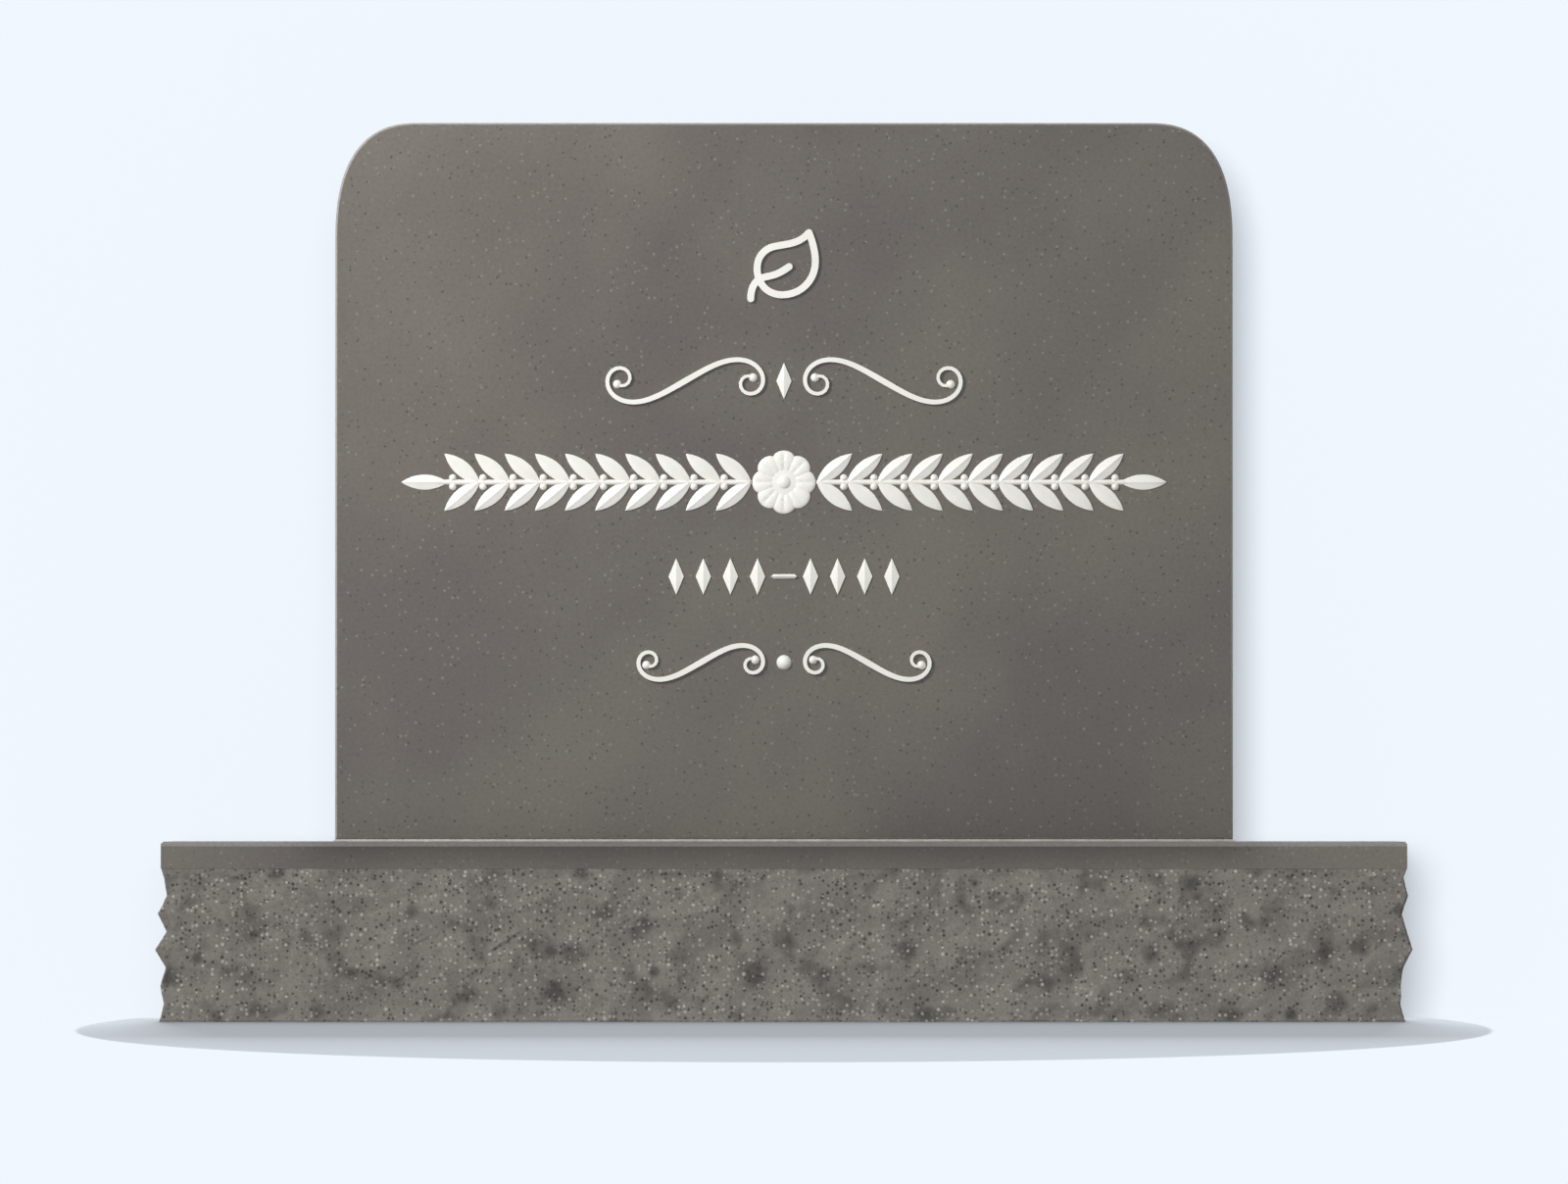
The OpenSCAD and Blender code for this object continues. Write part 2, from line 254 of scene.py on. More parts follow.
def flecks(tree, where, base, tone, pitch_mm, radius_mm, share, shift):
    """Round mineral flecks of one tone over a base colour, of uneven size and
    strength, in a share of the cells of a scattered lattice."""
    moved = add(tree, VECTOR_MATH,
                {0: where, 1: (shift, shift, shift)}, operation="ADD")
    cell = add(tree, "ShaderNodeTexVoronoi",
               {"Vector": moved, "Scale": 1 / (pitch_mm * MM)}).outputs
    chance = add(tree, "ShaderNodeSeparateColor",
                 {"Color": cell["Color"]}).outputs
    size = add(tree, "ShaderNodeMapRange",
               {"Value": chance["Blue"], "To Min": 0.7, "To Max": 1.2})
    away = add(tree, MATH, {0: cell["Distance"], 1: size}, operation="DIVIDE")
    edge = radius_mm / pitch_mm
    spot = add(tree, "ShaderNodeMapRange",
               {"Value": away, "From Min": edge, "From Max": 0.4 * edge},
               interpolation_type="SMOOTHSTEP")
    picked = add(tree, MATH, {0: chance["Red"], 1: share},
                 operation="LESS_THAN")
    strength = add(tree, "ShaderNodeMapRange",
                   {"Value": chance["Green"], "To Min": 0.35})
    chosen = add(tree, MATH, {0: picked, 1: strength}, operation="MULTIPLY")
    mask = add(tree, MATH, {0: spot, 1: chosen}, operation="MULTIPLY")
    return add(tree, "ShaderNodeMix", {0: mask, 6: base, 7: linear(tone)},
               data_type="RGBA")


def polished_granite(granite):
    """Granite, sawn and polished: two greys in clouds about 150 mm across
    that lean with the bed of the stone, a faint grain, sparse mineral flecks
    of 2 mm, and a soft wide reflection."""
    material, tree, shader, where = new_material("Granite, polished")
    # The bed's location only picks which clouds fall on the stone.
    bed = add(tree, "ShaderNodeMapping",
              {"Vector": where, "Location": (-2.72, -0.141, 2.425),
               "Rotation": (0, math.radians(42), 0), "Scale": (1, 1, 1.23)},
              vector_type="TEXTURE")
    _, clouds = mottle(tree, bed, 148, (0.34, granite.cool_cloud),
                       (0.66, granite.warm_cloud))
    _, grains = mottle(tree, where, 3, (0.3, "#f0f0f0"), (0.6, "#ffffff"))
    grained = add(tree, "ShaderNodeMix", {0: 1.0, 6: clouds, 7: grains},
                  data_type="RGBA", blend_type="MULTIPLY")
    dark = flecks(tree, where, grained, "#403c38", pitch_mm=6.0,
                  radius_mm=1.4, share=0.72, shift=3.1)
    light = flecks(tree, where, dark, "#7f7b73", pitch_mm=6.2,
                   radius_mm=1.5, share=0.58, shift=7.7)
    feed(shader, {"Base Color": light, "Roughness": granite.polish,
                  "IOR": GRANITE_IOR})
    return material


def paint_tablet_shadow(material, tone):
    """Paints the tablet's shadow onto the base as a darker colour: on the
    ledges before and behind it, from 16 mm inside its ends to 60 mm outside
    them, and less and less down 32 mm of the margin."""
    tree = material.node_tree
    shader = tree.nodes["Principled BSDF"]
    stone = shader.inputs["Base Color"].links[0].from_socket
    where = add(tree, "ShaderNodeTexCoord").outputs["Object"]
    spot = add(tree, "ShaderNodeSeparateXYZ", {0: where}).outputs
    aside = add(tree, MATH, {0: spot["X"]}, operation="ABSOLUTE")
    shadow_span = add(tree, "ShaderNodeMapRange",
               {"Value": aside, "From Min": TABLET_HIGH.x + 60 * MM,
                "From Max": TABLET_HIGH.x - 16 * MM},
               interpolation_type="SMOOTHSTEP")
    shadow_fall = add(tree, "ShaderNodeMapRange",
              {"Value": spot["Z"], "From Min": BASE_HIGH.z - 32 * MM,
               "From Max": BASE_HIGH.z})
    # Painted shadow of the tablet: strongest under it, fading along and down
    # the base.
    painted_shadow = add(tree, MATH, {0: shadow_span, 1: shadow_fall}, operation="MULTIPLY")
    shadowed_stone = add(tree, "ShaderNodeMix", {0: painted_shadow, 6: stone, 7: linear(tone)},
              data_type="RGBA", blend_type="MULTIPLY")
    feed(shader, {"Base Color": shadowed_stone})
    return material


def polished_margin(granite):
    """The same polish on the base, with the tablet's painted shadow under it.
    """
    material = polished_granite(granite)
    material.name = "Granite, polished margin"
    # The tone sets how dark the painted shadow of the tablet is.
    return paint_tablet_shadow(material, "#a19b92")


def honed_granite(name, tone):
    """Granite off the honing wheel: without its polish it dries paler."""
    material, tree, shader, where = new_material(name)
    _, dust = mottle(tree, where, 3, (0.3, dimmed(tone, 0.8)), (0.7, tone))
    feed(shader, {"Base Color": dust, "Roughness": 0.6, "IOR": GRANITE_IOR})
    return material


def tablet_arris(granite):
    """The tablet's honed arris, a pale line all round the polished faces."""
    return honed_granite("Granite, honed arris", granite.arris)


def margin_arris(granite):
    """The base's honed edge, a shaded copy of the tablet's arris: its darker
    tone is painted shade, set against the brighter light on its upward slope,
    and the tablet's painted shadow lies on it too."""
    # Both tones here are painted shade: the darker honed edge, and the
    # tablet's shadow.
    return paint_tablet_shadow(honed_granite("Granite, honed margin edge",
                                granite.margin_arris), "#dad8d6")


def pitched_granite(granite):
    """Granite broken by hammer and chisel: dull, with dense flecks of 2 to
    3 mm, soft stains and pale bruises of 10 to 30 mm, and black knots."""
    material, tree, shader, where = new_material("Granite, rock-pitched")
    grain, broken = mottle(tree, where, 2.4, (0.30, granite.dark_grain),
                           (0.70, granite.light_grain), roughness=0.6)
    _, stains = mottle(tree, where, 26, (0.28, "#a3a19f"), (0.47, "#ffffff"),
                       roughness=0.45)
    stained = add(tree, "ShaderNodeMix", {0: 1.0, 6: broken, 7: stains},
                  data_type="RGBA", blend_type="MULTIPLY")
    moved = add(tree, VECTOR_MATH, {0: where, 1: (5, 3, 1)}, operation="ADD")
    _, bruises = mottle(tree, moved, 24, (0.58, "#000000"),
                        (0.74, "#222120"), detail=1.0)
    bruised = add(tree, "ShaderNodeMix", {0: 1.0, 6: stained, 7: bruises},
                  data_type="RGBA", blend_type="SCREEN")
    dark = flecks(tree, where, bruised, "#302c27", pitch_mm=3.9,
                  radius_mm=1.9, share=0.57, shift=3.1)
    light = flecks(tree, where, dark, "#a4a19a", pitch_mm=4.2,
                   radius_mm=1.8, share=0.44, shift=7.7)
    knots = flecks(tree, where, light, "#2a2723", pitch_mm=44,
                   radius_mm=7.0, share=0.40, shift=1.3)
    bump = add(tree, "ShaderNodeBump",
               {"Height": grain, "Strength": 0.4, "Distance": 0.6 * MM})
    feed(shader, {"Base Color": knots, "Normal": bump, "Roughness": 0.85,
                  "IOR": GRANITE_IOR})
    return material


def setting_compound(granite):
    """Setting compound, struck off wet: matt, pale and faintly mottled."""
    material, tree, shader, where = new_material("Setting compound")
    _, mottled = mottle(tree, where, 9, (0.3, "#9d998f"),
                        (0.7, granite.compound), detail=4.0)
    feed(shader, {"Base Color": mottled, "Roughness": 0.9})
    return material


def stove_enamel(ornament):
    """White stove enamel on cast metal: smooth, with a soft gloss and a faint
    unevenness where the castings were dipped."""
    material, tree, shader, where = new_material("White stove enamel")
    flow, tone = mottle(tree, where, 14, (0.3, "#e9e7e0"),
                        (0.7, ornament.enamel), detail=3.0)
    ripple = add(tree, "ShaderNodeBump",
                 {"Height": flow, "Strength": 0.15, "Distance": 0.4 * MM})
    feed(shader, {"Base Color": tone, "Normal": ripple, "Roughness": 0.38,
                  "IOR": 1.5})
    return material


# ----------------------------------------------------------- property groups

class HEADSTONE_PG_granite(bpy.types.PropertyGroup):
    """Colours and worked edges of the two stones and their joint."""

    warm_cloud: colour("Warm cloud", "Warm grey of the polish", "#6a645b")
    cool_cloud: colour("Cool cloud", "Cool grey of the polish", "#5d5651")
    arris: colour("Arris", "Honed arrises of the tablet", "#989691")
    # Painted shade: darker than the tablet's arris, though it is the same
    # honed stone.
    margin_arris: colour("Margin arris", "Honed edge of the base", "#83817e")
    dark_grain: colour("Dark grain", "Darker grain of the rock", "#67645d")
    light_grain: colour("Light grain", "Lighter grain of the rock", "#77736d")
    compound: colour("Compound", "Palest setting compound", "#b1aea9")
    polish: FloatProperty(
        name="Polish", description="Roughness of the polished faces",
        default=0.34, min=0.0, max=1.0)
    margin: length("Margin", "Height of the polished margin", 22.8, 5)
    honed: length("Honed edge", "Height of the base's honed edge", 4, 2)
    worn_edge: length("Worn edge", "Radius on the tablet's sharp edges", 0.3)
    cuts: IntProperty(
        name="Cuts", description="Cuts across each edge of a rock facet",
        default=7, min=0, max=8)
    chip_size: length("Chip size", "Width of the scooped chips", 24, 5)
    chip_depth: length("Chip depth", "Depth of the scooped chips", 2.4)
    grit_size: length("Grit size", "Width of the broken grit", 7, 1)
    grit_depth: length("Grit depth", "Depth of the broken grit", 1.2)


class HEADSTONE_PG_ornament(bpy.types.PropertyGroup):
    """Finish and sizes of the white ornaments."""

    enamel: colour("Enamel", "White of the enamel", "#f0eee8")
    edge: length("Edge", "Radius on the castings' edges", 0.8)
    rim: length("Rim", "Height of a leaf or lozenge at its rim", 1.2)
    leaf_length: length("Leaf length", "Length of a garland leaf", 40, 10)
    leaf_width: length("Leaf width", "Width of a garland leaf", 13, 4)
    leaf_angle: FloatProperty(
        name="Leaf angle", description="Between a leaf and the stem",
        subtype="ANGLE", default=math.radians(40))
    leaf_pairs: IntProperty(
        name="Leaf pairs", description="Pairs of leaves on each side",
        default=10, min=1)
    stem_width: length("Stem width", "Width of the garland's stem", 4.5, 1)
    berry: length("Berry", "Diameter of a berry", 6.5, 1)
    petals: IntProperty(
        name="Petals", description="Petals in each ring of the rosette",
        default=8, min=3)
    lozenges: IntProperty(
        name="Lozenges", description="Lozenges on each side of the bar",
        default=4, min=2)


class HEADSTONE_PG_studio(bpy.types.PropertyGroup):
    """The studio: background, lamps and camera."""

    backdrop: colour("Backdrop", "Floor and background", "#f0f7ff")
    view_width: length("View width", "Width that the camera takes in", 1331)
    distance: length("Distance", "From the camera to the tablet", 20000)
    height: length("Camera height", "Height of the camera", 175, 100)
    middle: length("Middle", "Height that the camera looks at", 364.2)
    sky: FloatProperty(
        name="Sky", description="Even light from all round",
        default=0.45, min=0.0)
    key: FloatProperty(
        name="Key", description="Lamp in front, upper left, in watts",
        default=212.0, min=0.0)
    back: FloatProperty(
        name="Back", description="Lamp behind, upper right",
        default=1.6, min=0.0)


# --------------------------------------------------------------- the stones

def rock_tree():
    """Breaks the stone below its margin into scooped chips and grit, always
    inwards, and gives each face its finish."""
    tree, given = new_tree(
        "Pitch the rock", Material="Rock, Polish, Arris",
        Float="Margin line, Honed line, "
              "Chip size, Chip depth, Grit size, Grit depth")
    where = add(tree, "GeometryNodeInputPosition")
    normal = add(tree, "GeometryNodeInputNormal")
    height = add(tree, "ShaderNodeSeparateXYZ", {0: where}).outputs["Z"]

    # Chips are the cells of a scattered lattice, bent out of line by waves
    # of 56 mm.
    bend = add(tree, "ShaderNodeTexNoise", {"Vector": where, "Scale": 18.0})
    shift = add(tree, VECTOR_MATH,
                {0: bend.outputs["Color"], "Scale": 14 * MM},
                operation="SCALE")
    loose = add(tree, VECTOR_MATH, {0: where, 1: shift}, operation="ADD")
    chip_scale, grit_scale = (
        add(tree, MATH, {0: 1.0, 1: given[size]}, operation="DIVIDE")
        for size in ("Chip size", "Grit size"))
    cell = add(tree, "ShaderNodeTexVoronoi",
               {"Vector": loose, "Scale": chip_scale}).outputs
    far = add(tree, MATH, {0: cell["Distance"], 1: 2.0}, operation="POWER")
    bowl = add(tree, MATH, {0: 1.0, 1: far},
               operation="SUBTRACT", use_clamp=True)
    share = add(tree, "FunctionNodeSeparateColor", {"Color": cell["Color"]})
    bite = add(tree, MATH, {0: share, 1: given["Chip depth"]},
               operation="MULTIPLY")
    chip = add(tree, MATH, {0: bowl, 1: bite}, operation="MULTIPLY")
    grit = add(tree, "ShaderNodeTexNoise",
               {"Vector": where, "Scale": grit_scale, "Detail": 3.0,
                "Roughness": 0.6})
    worn = add(tree, MATH, {0: grit, 1: given["Grit depth"]},
               operation="MULTIPLY")
    depth = add(tree, MATH, {0: chip, 1: worn}, operation="ADD")

    # The breaking dies out just under the margin and just over the foot. Its
    # depth is negative, because it goes inwards.
    below = add(tree, MATH, {0: given["Margin line"], 1: height},
                operation="SUBTRACT")
    under = add(tree, "ShaderNodeMapRange",
                {"Value": below, "From Max": 8 * MM})
    over = add(tree, "ShaderNodeMapRange",
               {"Value": height, "From Max": 3 * MM, "To Max": -1.0})
    open_rock = add(tree, MATH, {0: under, 1: over}, operation="MULTIPLY")
    inward = add(tree, MATH, {0: depth, 1: open_rock}, operation="MULTIPLY")

    # Neighbours move nearly the same way, so that no crease folds over.
    way = add(tree, "GeometryNodeBlurAttribute",
              {"Value": normal, "Iterations": 6}, data_type="FLOAT_VECTOR")
    offset = add(tree, VECTOR_MATH, {0: way, "Scale": inward},
                 operation="SCALE")
    struck = add(tree, "GeometryNodeSetPosition",
                 {"Geometry": given["Geometry"], "Offset": offset})

    line = add(tree, MATH, {0: given["Margin line"], 1: 0.2 * MM},
               operation="SUBTRACT")
    is_rock = add(tree, MATH, {0: height, 1: line}, operation="LESS_THAN")
    is_margin, is_high = (
        add(tree, MATH, {0: height, 1: above}, operation="GREATER_THAN")
        for above in (line, given["Honed line"]))
    up = add(tree, "ShaderNodeSeparateXYZ", {0: normal}).outputs["Z"]
    not_top = add(tree, MATH, {0: up, 1: 0.9}, operation="LESS_THAN")
    is_arris = add(tree, MATH, {0: is_high, 1: not_top}, operation="MULTIPLY")
    shaded = add(tree, "GeometryNodeSetShadeSmooth",
                 {"Geometry": struck, "Shade Smooth": is_rock})
    stone = add(tree, "GeometryNodeRealizeInstances", {"Geometry": shaded})
    for name, chosen in (("Rock", True), ("Polish", is_margin),
                         ("Arris", is_arris)):
        stone = add(tree, "GeometryNodeSetMaterial",
                    {"Geometry": stone, "Selection": chosen,
                     "Material": given[name]})
    add(tree, "NodeGroupOutput", {"Geometry": stone})
    return tree


def close_groove(work, margin_line):
    """Brings the rock's top edge out to the margin, whose lower edge is then
    a line and not a groove."""
    touching, groove, step = 0.1 * MM, 5 * MM, 0.3 * MM
    margin = [vert.co for vert in work.verts
              if vert.co.z > margin_line + MM]
    for axis in (0, 1):
        edge = max(point[axis] for point in margin)
        for vert in work.verts:
            inset = edge - abs(vert.co[axis])
            if (abs(vert.co.z - margin_line) < touching
                    and touching < inset < groove):
                vert.co[axis] = math.copysign(edge - step, vert.co[axis])


def cut_round(work, height):
    """Scores a line round the stone at one height."""
    bmesh.ops.bisect_plane(
        work, geom=[*work.verts, *work.edges, *work.faces],
        plane_co=(0, 0, height), plane_no=(0, 0, 1))


def divide_rock(work, margin_line, cuts):
    """Divides the rock's facets finely enough to be broken, and leaves the
    foot, which lies level, and the margin whole."""
    level = 0.98

    def is_rock(face):
        return (abs(face.normal.z) < level
                and face.calc_center_median().z < margin_line)

    edges = [edge for edge in work.edges if any(map(is_rock, edge.link_faces))]
    bmesh.ops.subdivide_edges(work, edges=edges, cuts=cuts,
                              use_grid_fill=True)


class HEADSTONE_OT_base(bpy.types.Operator):
    """Make the base: polished top and margin over rock-pitched faces"""

    bl_idname = "headstone.base"
    bl_label = "Base"

    def execute(self, context):
        granite = context.scene.headstone_granite
        work = merged_copy("base")
        margin_line = BASE_HIGH.z - granite.margin
        honed_line = BASE_HIGH.z - granite.honed
        cut_round(work, honed_line)
        close_groove(work, margin_line)
        divide_rock(work, margin_line, granite.cuts)
        piece = shown("pitched_base", work)
        grow(piece, rock_tree(), {
            "Margin line": margin_line, "Honed line": honed_line,
            "Chip size": granite.chip_size,
            "Chip depth": granite.chip_depth,
            "Grit size": granite.grit_size,
            "Grit depth": granite.grit_depth,
            "Rock": finish(pitched_granite, granite),
            "Polish": finish(polished_margin, granite),
            "Arris": finish(margin_arris, granite)})
        place(clean(piece), "pitched_granite", "base")
        return {"FINISHED"}


class HEADSTONE_OT_setting_bed(bpy.types.Operator):
    """Make the struck bed of setting compound between the stones"""

    bl_idname = "headstone.setting_bed"
    bl_label = "Setting bed"

    def execute(self, context):
        granite = context.scene.headstone_granite
        piece = eased_copy("struck_setting_bed", "setting_bed",
                           finish(setting_compound, granite), 0.4 * MM)
        place(piece, "setting_compound", "setting_bed")
        return {"FINISHED"}


class HEADSTONE_OT_tablet(bpy.types.Operator):
    """Make the tablet: polished faces between honed arrises"""

    bl_idname = "headstone.tablet"
    bl_label = "Tablet"

    def execute(self, context):
        granite = context.scene.headstone_granite
        piece = eased_copy("polished_tablet", "tablet",
                           finish(polished_granite, granite),
                           granite.worn_edge)
        piece.data.materials.append(finish(tablet_arris, granite))
        front, side = 0.93, 0.35
        for face in piece.data.polygons:
            if side < abs(face.normal.y) < front:
                face.material_index = 1
        place(piece, "polished_granite", "tablet")
        return {"FINISHED"}


# ------------------------------------------------------------ the ornaments
# A template lies flat: X and Y along the stone's face, Z out of it.

def lofted(rings, start, end):
    """A closed skin over rings of points, pointed at both ends."""
    work = bmesh.new()
    rows = [[work.verts.new(point) for point in ring] for ring in rings]
    count = len(rows[0])
    for near, next_row in zip(rows, rows[1:]):
        for i in range(count):
            j = (i + 1) % count
            work.faces.new((near[i], near[j], next_row[j], next_row[i]))
    for row, point in ((rows[0], start), (rows[-1], end)):
        tip = work.verts.new(point)
        for i in range(count):
            work.faces.new((row[i], row[(i + 1) % count], tip))
    bmesh.ops.recalc_face_normals(work, faces=work.faces)
    return work


def leaf_template(ornament):
    """A pointed leaf along +X between two arcs: an eased rim, and hollow
    slopes that rise to a ridge along its middle."""
    size, width, rim = ornament.leaf_length, ornament.leaf_width, ornament.rim
    radius = (size ** 2 + width ** 2) / (4 * width)
    steps = 14
    rings = []
    for i in range(1, steps):
        x = size * i / steps
        half = (math.sqrt(radius ** 2 - (x - size / 2) ** 2)
                - radius + width / 2)
        ridge = rim + (RELIEF - rim) * math.sqrt(2 * half / width)
        section = [(1, 0), (1, 0.6 * rim), (0.93, rim),
                   (0.5, rim + 0.36 * (ridge - rim)),
                   (0.18, rim + 0.78 * (ridge - rim))]
        across = (section + [(0, ridge)]
                  + [(-u, h) for u, h in reversed(section)])
        rings.append([(x, u * half, h) for u, h in across])
    return lofted(rings, (0, 0, 0.5 * rim), (size, 0, 0.5 * rim))


def petal_template(size, height):
    """A domed petal on the origin, broader outwards, with a central crease."""
    steps, points = 8, 28
    rings = []
    for j in range(1, steps + 1):
        a = math.radians(90 * j / steps)
        ring = []
        for i in range(points):
            turn = 2 * math.pi * i / points
            x, y = math.sin(a) * math.cos(turn), math.sin(a) * math.sin(turn)
            crease = 1 - 0.3 * math.exp(-(y / 0.16) ** 2)
            ring.append((x * size / 2, y * (1 + 0.15 * x) * size / 2,
                         height * math.cos(a) ** 0.8 * crease))
        rings.append(ring)
    return lofted(rings, (0, 0, 0.7 * height), (0, 0, 0))


def lozenge_template(width, height, rim):
    """An upright lozenge, cut from its rim to a point over its middle."""
    work = bmesh.new()
    corners = [(width / 2, 0), (0, height / 2),
               (-width / 2, 0), (0, -height / 2)]
    foot = [work.verts.new((x, y, 0)) for x, y in corners]
    edge = [work.verts.new((x, y, rim)) for x, y in corners]
    point = work.verts.new((0, 0, RELIEF))
    work.faces.new(reversed(foot))
    for i in range(4):
        j = (i + 1) % 4
        work.faces.new((foot[i], foot[j], edge[j], edge[i]))
        work.faces.new((edge[i], edge[j], point))
    return work


def flat_backed(tree, part):
    """Presses what lies behind the face flat against it."""
    where = add(tree, "GeometryNodeInputPosition")
    pressed = add(tree, VECTOR_MATH, {0: where, 1: (-1, -1, 0)},
                  operation="MAXIMUM")
    return add(tree, "GeometryNodeSetPosition",
               {"Geometry": part, "Position": pressed})


def points_along(tree, given, count):
    """Points along X from a tree's start, one pitch apart."""
    start, pitch = (add(tree, "ShaderNodeCombineXYZ", {"X": given[name]})
                    for name in ("Start", "Pitch"))
    return add(tree, "GeometryNodeMeshLine",
               {"Count": given[count], "Start Location": start,
                "Offset": pitch})


def both_ways(tree, half):
    """A half, and the same turned the other way."""
    return [half, add(tree, "GeometryNodeTransform",
                      {"Geometry": half, "Rotation": (0, 0, math.pi)})]


def dome(tree, radius, height, segments):
    """A dome on the origin."""
    ball = add(tree, "GeometryNodeMeshUVSphere",
               {"Segments": segments, "Rings": segments // 2})
    size = add(tree, "ShaderNodeCombineXYZ",
               {"X": radius, "Y": radius, "Z": height})
    return flat_backed(tree, add(tree, "GeometryNodeTransform",
                                 {"Geometry": ball, "Scale": size}))


def turned_by(tree, angle):
    """A turn in the plane of the face."""
    turn = add(tree, "ShaderNodeCombineXYZ", {"Z": angle})
    return add(tree, "FunctionNodeEulerToRotation", {"Euler": turn})


def on_face(tree, given, parts):
    """Ends a tree: joins its parts, stands them on the tablet's face with
    their middle at a point, and gives them the enamel."""
    joined = add(tree, "GeometryNodeJoinGeometry", {0: parts})
    stood = add(tree, "GeometryNodeTransform",
                {"Geometry": joined, "Translation": given["Centre"],
                 "Rotation": (math.pi / 2, 0, 0)})
    real = add(tree, "GeometryNodeRealizeInstances", {"Geometry": stood})
    done = add(tree, "GeometryNodeSetMaterial",
               {"Geometry": real, "Material": given["Enamel"]})
    add(tree, "NodeGroupOutput", {"Geometry": done})
    return tree


def garland_tree():
    """Sets pairs of leaves and berries along a tapered stem, with one leaf at
    its tip, and turns a second half the other way."""
    tree, given = new_tree(
        "Garland", Int="Pairs", Vector="Centre", Material="Enamel",
        Float="Start, Pitch, Leaf angle, Stem width, Stem end, "
              "Berry, Berry place, Relief")
    pairs = points_along(tree, given, "Pairs")
    berry_radius, half_stem = (
        add(tree, MATH, {0: given[width], 1: 0.5}, operation="MULTIPLY")
        for width in ("Berry", "Stem width"))
    berry = dome(tree, berry_radius, given["Relief"], 16)
    back = add(tree, MATH, {0: half_stem, 1: -1.0}, operation="MULTIPLY")
    reach = add(tree, MATH, {0: given["Stem end"], 1: given["Stem width"]},
                operation="ADD")
    root, start, tip, end = (
        add(tree, "ShaderNodeCombineXYZ", {"X": x})
        for x in (back, given["Start"], given["Stem end"], reach))
    rooted = add(tree, "GeometryNodeTransform",
                 {"Geometry": given["Geometry"], "Translation": root})
    spread = add(tree, MATH, {0: given["Stem width"], 1: given["Berry"]},
                 operation="ADD")
    along = add(tree, MATH, {0: given["Pitch"], 1: given["Berry place"]},
                operation="MULTIPLY")
    parts = []
    for side in (-1, 1):
        angle = add(tree, MATH,
                    {0: given["Leaf angle"], 1: side}, operation="MULTIPLY")
        parts.append(add(tree, "GeometryNodeInstanceOnPoints",
                         {"Points": pairs, "Instance": rooted,
                          "Rotation": turned_by(tree, angle)}))
        out = add(tree, MATH, {0: spread, 1: side / 3}, operation="MULTIPLY")
        beside = add(tree, "ShaderNodeCombineXYZ", {"X": along, "Y": out})
        spots = add(tree, "GeometryNodeTransform",
                    {"Geometry": pairs, "Translation": beside})
        parts.append(add(tree, "GeometryNodeInstanceOnPoints",
                         {"Points": spots, "Instance": berry}))
    parts.append(add(tree, "GeometryNodeTransform",
                     {"Geometry": given["Geometry"], "Translation": tip}))

    # The stem is a rod that tapers to half its width.
    line = add(tree, "GeometryNodeCurvePrimitiveLine",
               {"Start": start, "End": end})
    factor = add(tree, "GeometryNodeSplineParameter")
    taper = add(tree, "ShaderNodeMapRange",
                {"Value": factor, "To Min": 1.0, "To Max": 0.5})
    rod = add(tree, "GeometryNodeSetCurveRadius",
              {"Curve": line, "Radius": taper})
    section = add(tree, "GeometryNodeCurvePrimitiveCircle",
                  {"Resolution": 12, "Radius": half_stem})
    rod = add(tree, "GeometryNodeCurveToMesh",
              {"Curve": rod, "Profile Curve": section,
               "Fill Caps": True})
    parts.append(flat_backed(tree, rod))
    half = add(tree, "GeometryNodeJoinGeometry", {0: parts})
    return on_face(tree, given, both_ways(tree, half))


def rosette_tree():
    """Sets two rings of petals on a disc, round a domed boss."""
    tree, given = new_tree(
        "Rosette", Int="Petals", Vector="Centre", Material="Enamel",
        Float="Outer ring, Inner ring, Inner size, "
              "Disc, Disc height, Boss, Boss height")
    step = add(tree, MATH, {0: 2 * math.pi, 1: given["Petals"]},
               operation="DIVIDE")
    index = add(tree, "GeometryNodeInputIndex")
    around = add(tree, MATH, {0: index, 1: step}, operation="MULTIPLY")
    half_step = add(tree, MATH, {0: step, 1: 0.5}, operation="MULTIPLY")
    parts = []
    for ring, size in (("Outer ring", (1, 1, 1)),
                       ("Inner ring", given["Inner size"])):
        circle = add(tree, "GeometryNodeMeshCircle",
                     {"Vertices": given["Petals"], "Radius": given[ring]})
        parts.append(add(tree, "GeometryNodeInstanceOnPoints",
                         {"Points": circle, "Instance": given["Geometry"],
                          "Rotation": turned_by(tree, around),
                          "Scale": size}))
    parts[1] = add(tree, "GeometryNodeTransform",
                   {"Geometry": parts[1],
                    "Rotation": turned_by(tree, half_step)})
    for name in ("Disc", "Boss"):
        parts.append(dome(tree, given[name], given[name + " height"], 32))
    return on_face(tree, given, parts)


def row_tree():
    """Repeats an ornament along a row, and the same on the other side."""
    tree, given = new_tree("Row", Int="Count", Float="Start, Pitch",
                           Vector="Centre", Material="Enamel")
    line = points_along(tree, given, "Count")
    row = add(tree, "GeometryNodeInstanceOnPoints",
              {"Points": line, "Instance": given["Geometry"]})
    return on_face(tree, given, both_ways(tree, row))


def face_centre(low, high):
    """The point on the tablet's face and its middle line at the height of the
    middle of a box."""
    return (0, TABLET_LOW.y, (low.z + high.z) / 2)


